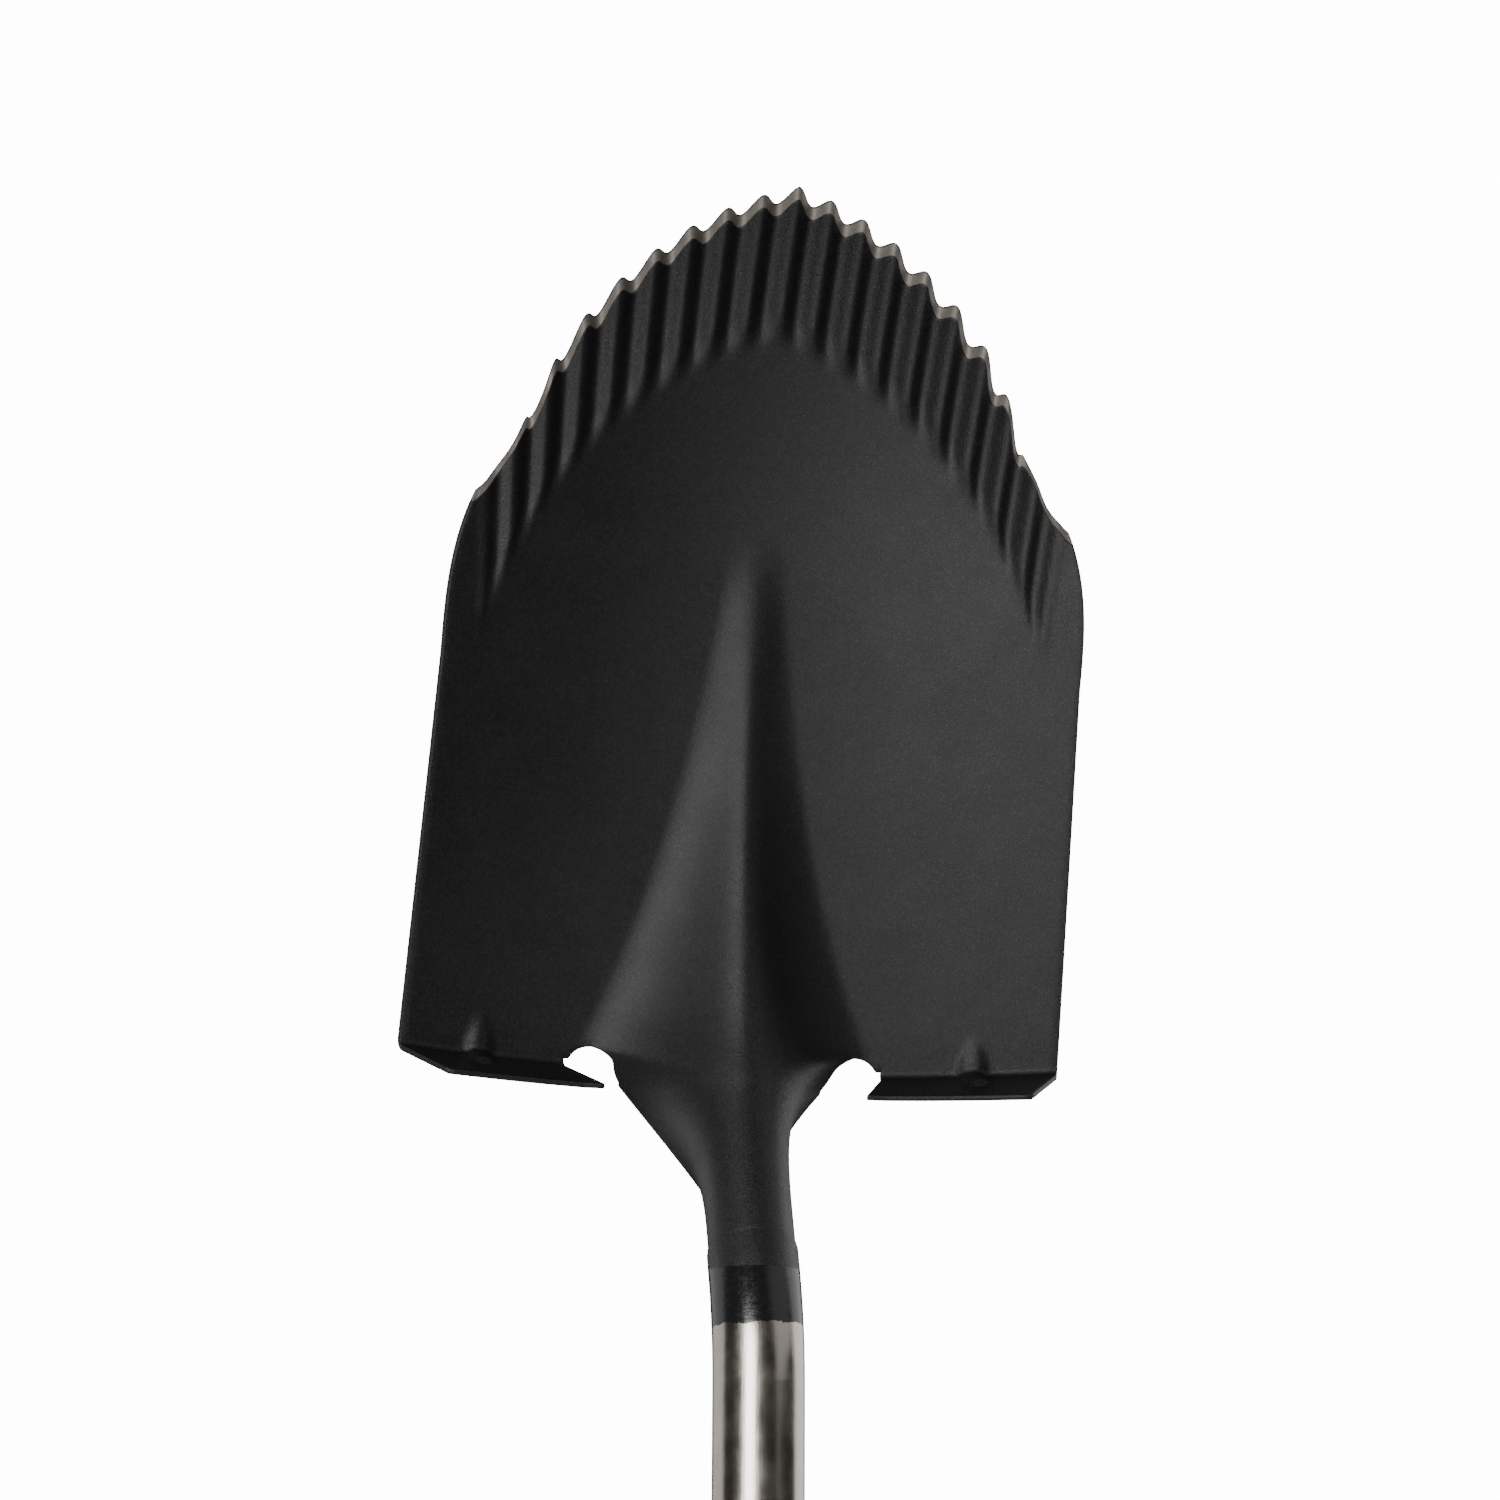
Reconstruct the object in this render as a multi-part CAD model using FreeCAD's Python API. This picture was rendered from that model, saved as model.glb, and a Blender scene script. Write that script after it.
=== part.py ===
import FreeCAD, Part
import math
import os

# A steel detecting shovel, hung blade up: a stamped blade with a corrugated cutting edge, a bent
# tube shaft and a riveted D-handle. Millimetres. +Z runs up the straight shaft, the blade's hollow
# face looks towards -Y, and the origin is on the shaft's axis at the middle of its clip length.
#
# The blade is laid out in its own axes first: u across, v from the heel to the tip and w out of
# the hollow face, with v = 0 at the outer ends of the foot treads.

# Blade sheet
SHEET = 2.0                 # thickness
BLADE_LENGTH = 305.0        # heel line to the tip
HEEL_HALF = 119.4           # half width at the heel
HEEL_SWEEP = 8.0            # how far the heel line's middle lies behind its ends
WAIST_HALF = 114.8          # half width where the shoulders start
WAIST_V = 135.0
SHOULDER_RATE = 4.6e-5      # cubic narrowing above the waist
TOE_V = 197.0               # where the smooth side ends and the teeth start
TOE_HALF = 100.6
POINT_SLOPE = 0.25          # straight part of the pointed tip's outline
POINT_HALF = 108.0          # half axes of the elliptical part of the same outline
POINT_DEPTH = 126.0
DISH_RADIUS = 228.0         # crosswise hollow, 156 mm from the heel
DISH_GROWTH = 0.4           # how much the hollow deepens from there to the tip
DISH_V = 156.0
CURL_V = 175.0              # the tip curls towards the hollow face beyond here
CURL_RADIUS = 315.0

# Corrugated, sharpened edge
TEETH_HALF = 8.6            # teeth from the tip to the end of the serration
TOOTH_DROP = 4.4            # notch between two teeth, and how it grows down the flanks
TOOTH_GROWTH = 1.4
WAVE_DEPTH = 3.4            # crest to groove
WAVE_FAN = 0.00055          # how fast the grooves spread, per mm along the blade
WAVE_LENGTH = 56.0          # groove length from the edge
WAVE_FADE = 14.0            # run-out at the groove's inner end
BEVEL = 4.6                 # width of the sharpened band
EDGE_THICKNESS = 0.5

# Frog: the raised ridge that carries the shaft
CREST_SLOPE = 0.42          # rise of the ridge along the blade
CREST_V = 88.6
CREST_ROUND = 38.0
KICK_SLOPE = 0.32           # extra rise from the heel on
KICK_V = 5.0
KICK_ROUND = 7.0
FROG_SLOPE = CREST_SLOPE + KICK_SLOPE
FROG_HALF = 54.0            # half width of the ridge at the heel
FROG_TAPER = 112.0
RIDGE_ROUND = 0.22          # rounding of the ridge's top, as a share of its half width
RIDGE_POWER = 1.7
RIDGE_LOW = -25.0           # the ridge is sharp only between these places, and is gone at CREST_END
RIDGE_HIGH = 165.0
CREST_END = 188.0

# Neck: the ridge wrapped round the shaft's end
NECK_START = -4.0
NECK_HALF = 50.0
NECK_END = -63.0
NECK_RADIUS = 15.2
NECK_WRAP = math.radians(172)
NECK_CLOSED = 0.9           # share of the neck's length where its flaps meet
NECK_HASTE_MID = 3.4        # how soon the front turns into a tube, and how late the flaps do
NECK_HASTE_RIM = 1.6
FLAP_TUCK = 10.0            # how far the flaps' edges are drawn back
AXIS_RISE = 19.9            # height of the neck's axis above the blade at the heel
NECK_ANGLE = math.atan(FROG_SLOPE)
NOTCH_RADIUS = 9.4
NOTCH_U = 48.5
NOTCH_V = -10.9
SKIN = 0.25                 # how much neck and treads stand proud where they grow out of the sheet

# Foot treads
TREAD_INNER = 58.0
TREAD_DEPTH = 24.0
TREAD_LEAN = math.radians(8)
TREAD_CHAMFER = 8.0
GUSSET_U = 90.0
GUSSET_SIZE = 13.0
GUSSET_HALF = 6.5

FOLD_LAP = 3.0              # stretch of sheet that the tread grows out of
FOLD_RADIUS = 3.5
TREAD_SLANT = 7.0           # how far the inner end leans inwards

# Shaft
TUBE_RADIUS = 15.875
TUBE_WALL = 1.9
LIFT = math.radians(16)     # angle between the shaft and the blade
BEND_RADIUS = 110.0
BEND_V = -86.5              # where the neck's axis and the shaft's axis cross
SHAFT_LENGTH = 470.0        # from that crossing to the lower end
SPIGOT_CLEAR = 0.1
SPIGOT_LENGTH = 44.0
RING_WELD = 1.6
WELD_PROUD = 0.35
SEAM_WELD = 2.8
SEAM_LENGTH = 14.0
STRAIGHT_TOP = 20.0         # bend's run-out below the crossing

# D-handle
YOKE_THICK = 3.0
YOKE_WIDTH = 26.0
YOKE_CUP = 84.0             # length of the half shell that hugs the shaft
ARM_X = 56.0                # arm's middle from the shaft's axis
ARM_BEND = 22.0
ARM_SPLAY = math.radians(48)
GRIP_DROP = 112.0           # shaft's lower end to the grip's axis
ROD_RADIUS = 5.0
CORE_RADIUS = 11.0
SLEEVE_RADIUS = 17.0
SLEEVE_RIBS = 9
RIB_DEPTH = 1.2
RIVET_RADIUS = 3.2
RIVET_HEAD = 5.6
RIVET_FALL = 2.6
RIVET_STEP = 22.0
YOKE_GAP = 0.05
ROD_HALF = 63.0
WASHER = 1.6
NUT_RADIUS = 9.2
NUT_HEIGHT = 7.0

# Heights in the part's own axes
CLIP_LENGTH = SHAFT_LENGTH - STRAIGHT_TOP - YOKE_CUP
BEND_Z = CLIP_LENGTH / 2 + STRAIGHT_TOP
SHAFT_END = BEND_Z - SHAFT_LENGTH
GRIP_Z = SHAFT_END - GRIP_DROP


def waist(v):
    """Half width of the blade's smooth sides."""
    lower = HEEL_HALF + (WAIST_HALF - HEEL_HALF) * min(v, WAIST_V) / WAIST_V
    return lower - SHOULDER_RATE * max(v - WAIST_V, 0) ** 3


def wave_half(v):
    """Half width of the toothed zone, whose grooves spread a little towards the tip."""
    return TOE_HALF * (1 + WAVE_FAN * (v - TOE_V))


def teeth_line(u):
    """Outline through the tips of the teeth."""
    x = min(abs(u) / POINT_HALF, 1)
    return BLADE_LENGTH - POINT_SLOPE * abs(u) - POINT_DEPTH * (1 - math.sqrt(1 - x * x))


def phase(u, v):
    return 2 * math.pi * TEETH_HALF * u / wave_half(v)


def cut_edge(u):
    """Outline of the blade's end with its teeth."""
    top = teeth_line(u)
    drop = TOOTH_DROP * (1 + TOOTH_GROWTH * min(abs(u) / POINT_HALF, 1) ** 3)
    return top - drop / 2 * (1 - math.cos(phase(u, top)))


def ease(x):
    x = min(max(x, 0), 1)
    return x * x * (3 - 2 * x)


def ramp_up(slope, place, rounding, v):
    return slope * rounding * math.log(1 + math.exp((place - v) / rounding))


def frog(u, v):
    """Height of the ridge, and of the neck's front line beyond the heel."""
    crest = ramp_up(CREST_SLOPE, CREST_V, CREST_ROUND, v) + ramp_up(KICK_SLOPE, KICK_V, KICK_ROUND, v)
    crest *= ease((CREST_END - v) / 36)
    half = FROG_HALF * math.exp(-max(v, 0) / FROG_TAPER)
    x = min(abs(u) / half, 1)
    arch = (1 + math.cos(math.pi * x)) / 2
    whole = math.hypot(1, RIDGE_ROUND) - RIDGE_ROUND
    fall = (math.hypot(x, RIDGE_ROUND) - RIDGE_ROUND) / whole
    ridge = max(1 - fall, 0) ** RIDGE_POWER
    sharp = ease((v - RIDGE_LOW) / 40) * ease((RIDGE_HIGH - v) / 50)
    return crest * (arch + (ridge - arch) * sharp)


def hollow(u, v):
    bend = (1 + DISH_GROWTH * (v - DISH_V) / DISH_V) / DISH_RADIUS
    return bend * u * u / 2 + max(v - CURL_V, 0) ** 2 / (2 * CURL_RADIUS)


def corrugation(u, v):
    inward = teeth_line(u) - v
    fade = 1 - ease((inward - WAVE_LENGTH + WAVE_FADE) / WAVE_FADE)
    side = ease((wave_half(v) * (1 + 0.5 / TEETH_HALF) - abs(u)) / 4)
    return WAVE_DEPTH / 2 * math.cos(phase(u, v)) * fade * side


def sheet_point(u, v):
    """Point of the hollow face."""
    return FreeCAD.Vector(u, v, hollow(u, v) + frog(u, v) + corrugation(u, v))


def sheet_normal(u, v):
    """Normal of the sheet without its corrugation: the way its thickness is measured."""
    step = 0.2
    across = hollow(u + step, v) + frog(u + step, v) - hollow(u - step, v) - frog(u - step, v)
    along = hollow(u, v + step) + frog(u, v + step) - hollow(u, v - step) - frog(u, v - step)
    return FreeCAD.Vector(-across, -along, 2 * step).normalize()


def rims(surface):
    """The four boundary curves of a surface patch."""
    u_low, u_high, v_low, v_high = surface.bounds()
    curves = [surface.uIso(u_low), surface.uIso(u_high), surface.vIso(v_low), surface.vIso(v_high)]
    return [curve.toShape() for curve in curves]


def knots(count):
    """Even knots of a clamped cubic through so many poles, and how often each one counts."""
    spans = count - 3
    return list(range(spans + 1)), [4] + [1] * (spans - 1) + [4]


def skin(grid):
    """Smooth cubic surface that a grid of points pulls into shape."""
    across, across_counts = knots(len(grid))
    along, along_counts = knots(len(grid[0]))
    surface = Part.BSplineSurface()
    surface.buildFromPolesMultsKnots(grid, across_counts, along_counts, across, along, False, False, 3, 3)
    return surface


def slab(front, back):
    """Solid between two grids of points, closed by ruled sides."""
    skins = [skin(grid) for grid in (front, back)]
    faces = [surface.toShape() for surface in skins]
    faces += [Part.makeRuledSurface(a, b, 1) for a, b in zip(rims(skins[0]), rims(skins[1]))]
    shell = Part.makeShell(faces)
    shell.sewShape(1e-3)
    solid = Part.makeSolid(Part.makeShell(shell.Faces))
    if solid.Volume < 0:
        solid.reverse()
    return solid


def blade_sheet():
    columns = 2 * 86
    inner_rows = 30
    front, back = [], []
    for i in range(columns + 1):
        s = 2 * i / columns - 1
        front_row, back_row = [], []
        top = cut_edge(s * wave_half(TOE_V + (BLADE_LENGTH - TOE_V) * (1 - abs(s))))
        for step in range(2):
            top = cut_edge(s * wave_half(top))
        for j in range(inner_rows + 4):
            if j < inner_rows:
                part = 1 - (1 - j / (inner_rows - 1)) ** 1.3
                inset = BEVEL + (1 - part) * (top - BEVEL + HEEL_SWEEP * (1 - s * s))
            else:
                inset = BEVEL * (inner_rows + 3 - j) / 4
            v = top - inset
            reach = wave_half(v)
            u = s * reach + math.copysign(abs(s) ** 14, s) * (waist(v) - reach)
            normal = sheet_normal(u, v)
            point = sheet_point(u, v)
            wear = (SHEET - EDGE_THICKNESS) * (1 - min(inset / BEVEL, 1))
            front_row.append(point - normal * wear)
            back_row.append(point - normal * SHEET)
        front.append(front_row)
        back.append(back_row)
    return slab(front, back)


def axis_point(v):
    """Point of the neck's axis."""
    return FreeCAD.Vector(0, v, AXIS_RISE - FROG_SLOPE * v)


def neck_point(s, q):
    """Point of the neck's outside: s runs round it and q from the heel to its mouth."""
    haste = NECK_HASTE_MID + (NECK_HASTE_RIM - NECK_HASTE_MID) * s * s
    blend = (1 - (1 - min(q / NECK_CLOSED, 1)) ** haste) * ease(q / 0.06 + 0.35)
    v = NECK_START + (NECK_END - NECK_START) * q
    u = NECK_HALF * s
    arch = FreeCAD.Vector(u, v, hollow(u, v) + frog(u, v))
    turn = NECK_WRAP * s
    centre = axis_point(v - NECK_RADIUS * math.sin(NECK_ANGLE) * (1 - q))
    out = FreeCAD.Vector(0, math.sin(NECK_ANGLE), math.cos(NECK_ANGLE)) * math.cos(turn)
    ring = centre + (out + FreeCAD.Vector(math.sin(turn), 0, 0)) * NECK_RADIUS
    tuck = FreeCAD.Vector(0, 0, FLAP_TUCK * s ** 4 * 4 * blend * (1 - blend))
    return arch * (1 - blend) + ring * blend - tuck


def neck():
    columns = 56
    rows = 30
    step = 0.01
    front, back = [], []
    for i in range(columns + 1):
        s = 2 * i / columns - 1
        outer, inner = [], []
        for j in range(rows + 1):
            q = j / rows
            across = neck_point(s + step, q) - neck_point(s - step, q)
            along = neck_point(s, q - step) - neck_point(s, q + step)
            normal = across.cross(along).normalize()
            skin = SKIN * (1 - ease(q * 4))
            outer.append(neck_point(s, q) + normal * skin)
            inner.append(neck_point(s, q) - normal * (SHEET + skin))
        front.append(outer)
        back.append(inner)
    return slab(front, back)


def heel_line(u):
    """Where the sheet turns into the treads."""
    return -HEEL_SWEEP * (1 - (u / HEEL_HALF) ** 2)


def tread_frame(u):
    """Middle of the sheet just inside the fold, with the ways towards the handle and out of the hollow."""
    v = heel_line(u) + FOLD_LAP
    normal = sheet_normal(u, v)
    away = normal.cross(FreeCAD.Vector(1, 0, 0)).normalize()
    return sheet_point(u, v) - normal * (SHEET / 2), away * -math.copysign(1, away.y), normal


def tread(side):
    """Forward-turned foot tread, bent up from the heel line; side is 1 or -1."""
    turn = math.pi / 2 - TREAD_LEAN
    bend_steps, flat_steps, columns = 6, 6, 14
    rise = TREAD_DEPTH - FOLD_RADIUS
    profile = [(0, 0, 0, 0), (FOLD_LAP / 2, 0, 0, 0)]
    for k in range(bend_steps + 1):
        angle = turn * k / bend_steps
        out, up = FOLD_RADIUS * math.sin(angle), FOLD_RADIUS * (1 - math.cos(angle))
        profile.append((FOLD_LAP + out, up, angle, 0))
    bend_x, bend_y = profile[-1][:2]
    for k in range(1, flat_steps + 1):
        run = rise * k / flat_steps
        profile.append((bend_x + run * math.cos(turn), bend_y + run * math.sin(turn), turn, k / flat_steps))
    front, back = [], []
    for i in range(columns + 1):
        front_row, back_row = [], []
        for x, y, angle, raised in profile:
            inner = TREAD_INNER - TREAD_SLANT * raised
            outer = HEEL_HALF - 0.4 - TREAD_CHAMFER * raised
            u = side * (inner + (outer - inner) * i / columns)
            base, away, normal = tread_frame(u)
            middle = base + away * x + normal * y
            out = normal * math.cos(angle) - away * math.sin(angle)
            front_row.append(middle + out * (SHEET / 2 + SKIN))
            back_row.append(middle - out * (SHEET / 2 + SKIN))
        front.append(front_row)
        back.append(back_row)
    return slab(front, back)


def gusset(side):
    """Pressed rib that stiffens the fold, filled solid."""
    base, away, normal = tread_frame(side * GUSSET_U)
    across = FreeCAD.Vector(1, 0, 0)
    corner = base + away * (FOLD_LAP + FOLD_RADIUS) - across * GUSSET_HALF
    foot = corner - away * GUSSET_SIZE
    top = corner + normal * GUSSET_SIZE
    wedge = Part.Face(Part.makePolygon([corner, foot, top, corner])).extrude(across * 2 * GUSSET_HALF)
    middle = (foot + top) * 0.5 + across * GUSSET_HALF
    along = (top - foot).normalize()
    sunk = middle - (normal - away).normalize() * GUSSET_HALF * 0.9
    rib = Part.makeCylinder(GUSSET_HALF, 4 * GUSSET_SIZE, sunk - along * 2 * GUSSET_SIZE, along)
    return rib.common(wedge)


def blade():
    body = blade_sheet().fuse(neck())
    for side in (-1, 1):
        notch = Part.makeCylinder(NOTCH_RADIUS, 60, FreeCAD.Vector(side * NOTCH_U, NOTCH_V, -20))
        body = body.cut(notch)
    for side in (-1, 1):
        body = body.fuse([tread(side), gusset(side)])
    return body


def from_mouth(distance, drop=0):
    """Point on the neck's axis, so far from its mouth into the blade, and dropped towards its back."""
    along = FreeCAD.Vector(0, math.cos(NECK_ANGLE), -math.sin(NECK_ANGLE))
    back = FreeCAD.Vector(0, -math.sin(NECK_ANGLE), -math.cos(NECK_ANGLE))
    return axis_point(NECK_END) + along * distance + back * drop


def neck_cylinder(radius, start, length):
    return Part.makeCylinder(radius, length, from_mouth(start), from_mouth(1) - from_mouth(0))


def spigot_radius():
    return NECK_RADIUS - SHEET - SPIGOT_CLEAR


def tube_solid(radius):
    """Solid rod along the bent part and the straight part of the shaft."""
    tangent = BEND_RADIUS * math.tan((NECK_ANGLE - LIFT) / 2)
    down = FreeCAD.Vector(0, -math.cos(LIFT), math.sin(LIFT))
    neck_down = FreeCAD.Vector(0, -math.cos(NECK_ANGLE), math.sin(NECK_ANGLE))
    cross = axis_point(BEND_V)
    start = from_mouth(-RING_WELD)
    first = cross - neck_down * tangent
    last = cross + down * tangent
    inside = (down - neck_down).normalize()
    middle = cross + inside * BEND_RADIUS * (1 / math.cos((NECK_ANGLE - LIFT) / 2) - 1)
    path = Part.Wire([
        Part.makeLine(start, first),
        Part.Arc(first, middle, last).toShape(),
        Part.makeLine(last, cross + down * SHAFT_LENGTH),
    ])
    disc = Part.Face(Part.Wire(Part.makeCircle(radius, start, neck_down)))
    return path.makePipe(disc)


def shaft_tube():
    """Bent tube, necked down to a spigot that slips into the blade's neck."""
    outside = tube_solid(TUBE_RADIUS)
    inside = tube_solid(TUBE_RADIUS - TUBE_WALL)
    rod = spigot_radius()
    spigot = neck_cylinder(rod, -2 * RING_WELD, SPIGOT_LENGTH + 2 * RING_WELD)
    shoulder = neck_cylinder(TUBE_RADIUS - 0.4, -2.5 * RING_WELD, 1.5 * RING_WELD)
    hole = neck_cylinder(rod - TUBE_WALL, -3 * RING_WELD, SPIGOT_LENGTH + 4 * RING_WELD)
    return outside.cut(inside).fuse([spigot, shoulder]).cut(hole)


def ring_weld():
    """Bead between the neck's mouth and the shaft's shoulder, ground nearly flush."""
    ring = neck_cylinder(NECK_RADIUS + WELD_PROUD, -RING_WELD, RING_WELD)
    return ring.cut(neck_cylinder(spigot_radius(), -RING_WELD, RING_WELD))


def seam_weld(plate):
    """Bead that closes the neck's seam at the back."""
    start = from_mouth(0, NECK_RADIUS - SHEET / 2)
    bead = Part.makeCylinder(SEAM_WELD, SEAM_LENGTH, start, from_mouth(1) - from_mouth(0))
    bead = bead.cut(neck_cylinder(NECK_RADIUS - SHEET, 0, SEAM_LENGTH))
    return bead.cut(plate)


def nose_cap():
    """Domed cap that closes the shaft's upper end inside the ridge."""
    rod = spigot_radius()
    dome = Part.makeSphere(rod * 1.25, from_mouth(SPIGOT_LENGTH - rod * 0.75))
    return dome.common(neck_cylinder(rod, SPIGOT_LENGTH, rod)).removeSplitter()


def to_row(shape):
    """Turn a shape from the blade's axes into the part's own."""
    turned = shape.copy()
    turned.rotate(FreeCAD.Vector(0, 0, 0), FreeCAD.Vector(1, 0, 0), 90 + math.degrees(LIFT))
    cross = axis_point(BEND_V)
    shift_y = cross.y * math.sin(LIFT) + cross.z * math.cos(LIFT)
    turned.translate(FreeCAD.Vector(0, shift_y, BEND_Z - cross_height()))
    return turned


def cross_height():
    cross = axis_point(BEND_V)
    return cross.y * math.cos(LIFT) - cross.z * math.sin(LIFT)


def strap_path(side):
    """Middle line of one arm: down the shaft, out in a double bend and straight down to the grip."""
    x = TUBE_RADIUS + YOKE_GAP + YOKE_THICK / 2
    run = (ARM_X - x - 2 * ARM_BEND * (1 - math.cos(ARM_SPLAY))) / math.sin(ARM_SPLAY)
    fall = 2 * ARM_BEND * math.sin(ARM_SPLAY) + run * math.cos(ARM_SPLAY)
    half = ARM_SPLAY / 2
    bend_x, bend_z = ARM_BEND * (1 - math.cos(ARM_SPLAY)), ARM_BEND * math.sin(ARM_SPLAY)
    mid_x, mid_z = ARM_BEND * (1 - math.cos(half)), ARM_BEND * math.sin(half)
    top = SHAFT_END + YOKE_CUP - 24
    low = SHAFT_END - 4
    points = [(x, top), (x, low), (x + mid_x, low - mid_z), (x + bend_x, low - bend_z)]
    points += [(ARM_X - bend_x, low - fall + bend_z), (ARM_X - mid_x, low - fall + mid_z)]
    points += [(ARM_X, low - fall), (ARM_X, GRIP_Z)]
    p = [FreeCAD.Vector(side * a, 0, b) for a, b in points]
    return Part.Wire([
        Part.makeLine(p[0], p[1]),
        Part.Arc(p[1], p[2], p[3]).toShape(),
        Part.makeLine(p[3], p[4]),
        Part.Arc(p[4], p[5], p[6]).toShape(),
        Part.makeLine(p[6], p[7]),
    ])


def x_rod(radius, start, end, z=0.0):
    return Part.makeCylinder(radius, end - start, FreeCAD.Vector(start, 0, z), FreeCAD.Vector(1, 0, 0))


def rivet_heights():
    return [SHAFT_END + 20 + RIVET_STEP * k for k in range(3)]


def yoke(side):
    """Half of the handle's fork: a half shell round the shaft that runs into one arm."""
    path = strap_path(side)
    top = path.Vertexes[0].Point
    half, width = YOKE_THICK / 2, YOKE_WIDTH / 2
    corners = [(-half, -width), (half, -width), (half, width), (-half, width), (-half, -width)]
    section = Part.makePolygon([FreeCAD.Vector(top.x + a, b, top.z) for a, b in corners])
    arm = path.makePipe(Part.Face(section))
    eye = x_rod(width, side * ARM_X - half, side * ARM_X + half, GRIP_Z)
    cup_radius = TUBE_RADIUS + YOKE_GAP + YOKE_THICK
    cup = Part.makeCylinder(cup_radius, YOKE_CUP, FreeCAD.Vector(0, 0, SHAFT_END - 2))
    keep = Part.makeBox(40, 80, 400, FreeCAD.Vector(0.6 if side > 0 else -40.6, -40, SHAFT_END - 100))
    body = arm.fuse([eye, cup.common(keep)])
    bore = Part.makeCylinder(TUBE_RADIUS + YOKE_GAP, YOKE_CUP + 40, FreeCAD.Vector(0, 0, SHAFT_END - 20))
    body = body.cut(bore)
    body = body.cut(x_rod(ROD_RADIUS + 0.05, -90, 90, GRIP_Z))
    for z in rivet_heights():
        body = body.cut(x_rod(RIVET_RADIUS, -40, 40, z))
    return body


def rivets():
    reach = TUBE_RADIUS + YOKE_GAP + YOKE_THICK
    pieces = []
    for z in rivet_heights():
        shank = x_rod(RIVET_RADIUS, -reach, reach, z)
        heads = []
        for side in (-1, 1):
            dome_radius = (RIVET_HEAD ** 2 + RIVET_FALL ** 2) / (2 * RIVET_FALL)
            centre = FreeCAD.Vector(side * (reach + RIVET_FALL - dome_radius), 0, z)
            low, high = sorted((side * (reach - 0.4), side * (reach + RIVET_FALL)))
            heads.append(Part.makeSphere(dome_radius, centre).common(x_rod(RIVET_HEAD, low, high, z)))
        pieces.append(shank.fuse(heads).cut(yoke(-1)).cut(yoke(1)))
    return Part.makeCompound(pieces)


def drilled_shaft():
    tube = to_row(shaft_tube())
    for z in rivet_heights():
        tube = tube.cut(x_rod(RIVET_RADIUS, -30, 30, z))
    return tube


def grip_rod():
    return x_rod(ROD_RADIUS, -ROD_HALF, ROD_HALF, GRIP_Z)


def grip_core():
    reach = ARM_X - YOKE_THICK / 2
    return x_rod(CORE_RADIUS, -reach, reach, GRIP_Z).cut(grip_rod())


def grip_sleeve():
    """Rubber sleeve with raised rings and rounded ends."""
    reach = ARM_X - YOKE_THICK / 2 - 1
    pitch = 2 * (reach - 8) / SLEEVE_RIBS
    base = SLEEVE_RADIUS - RIB_DEPTH
    sleeve = x_rod(base, -reach, reach, GRIP_Z)
    sleeve = sleeve.makeFillet(3, [edge for edge in sleeve.Edges if edge.Length > base * 6])
    rings = []
    for k in range(SLEEVE_RIBS):
        middle = (k - (SLEEVE_RIBS - 1) / 2) * pitch
        rings.append(x_rod(SLEEVE_RADIUS, middle - pitch * 0.3, middle + pitch * 0.3, GRIP_Z))
    return sleeve.fuse(rings).cut(x_rod(CORE_RADIUS, -reach, reach, GRIP_Z))


def washers():
    pieces = []
    for side in (-1, 1):
        low, high = sorted((side * (ARM_X + YOKE_THICK / 2), side * (ARM_X + YOKE_THICK / 2 + WASHER)))
        pieces.append(x_rod(2.1 * ROD_RADIUS, low, high, GRIP_Z).cut(grip_rod()))
    return Part.makeCompound(pieces)


def dome_nuts():
    """Hexagon cap nuts on the rod's ends."""
    pieces = []
    for side in (-1, 1):
        start = side * (ARM_X + YOKE_THICK / 2 + WASHER)
        corners = []
        for k in range(7):
            turn = math.radians(60 * k)
            offset = FreeCAD.Vector(start, NUT_RADIUS * math.cos(turn), GRIP_Z + NUT_RADIUS * math.sin(turn))
            corners.append(offset)
        hexagon = Part.Face(Part.makePolygon(corners)).extrude(FreeCAD.Vector(side * NUT_HEIGHT, 0, 0))
        dome = Part.makeSphere(NUT_RADIUS * 0.82, FreeCAD.Vector(start + side * NUT_HEIGHT, 0, GRIP_Z))
        low, high = sorted((start, start + side * 30))
        dome = dome.common(x_rod(30, low, high, GRIP_Z))
        pieces.append(hexagon.fuse(dome).cut(grip_rod()))
    return Part.makeCompound(pieces)


def end_plug():
    """Plug in the shaft's lower end."""
    bore = TUBE_RADIUS - TUBE_WALL
    stem = Part.makeCylinder(bore, 12, FreeCAD.Vector(0, 0, SHAFT_END))
    flange = Part.makeCylinder(TUBE_RADIUS, 2.5, FreeCAD.Vector(0, 0, SHAFT_END - 2.5))
    outer_rim = [edge for edge in flange.Edges if edge.CenterOfMass.z < SHAFT_END - 2.4]
    flange = flange.makeFillet(1.2, outer_rim)
    return flange.fuse(stem)


def main():
    plate = blade()
    parts = {
        "blade": to_row(plate),
        "shaft_tube": drilled_shaft(),
        "neck_ring_weld": to_row(ring_weld()),
        "neck_seam_weld": to_row(seam_weld(plate)),
        "shaft_nose_cap": to_row(nose_cap()),
        "shaft_end_plug": end_plug(),
        "handle_yoke_left": yoke(-1),
        "handle_yoke_right": yoke(1),
        "yoke_rivets": rivets(),
        "grip_rod": grip_rod(),
        "grip_core": grip_core(),
        "grip_sleeve": grip_sleeve(),
        "grip_washers": washers(),
        "grip_dome_nuts": dome_nuts(),
    }
    os.makedirs("parts", exist_ok=True)
    for name, shape in parts.items():
        shape.exportStep("parts/" + name + ".step")
        box = shape.BoundBox
        print(name, shape.isValid(), len(shape.Solids), round(shape.Volume), "mm3")


if __name__ == "__main__":
    main()
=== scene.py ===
import math

import bpy
import numpy as np
from mathutils import Matrix, Vector


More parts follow.
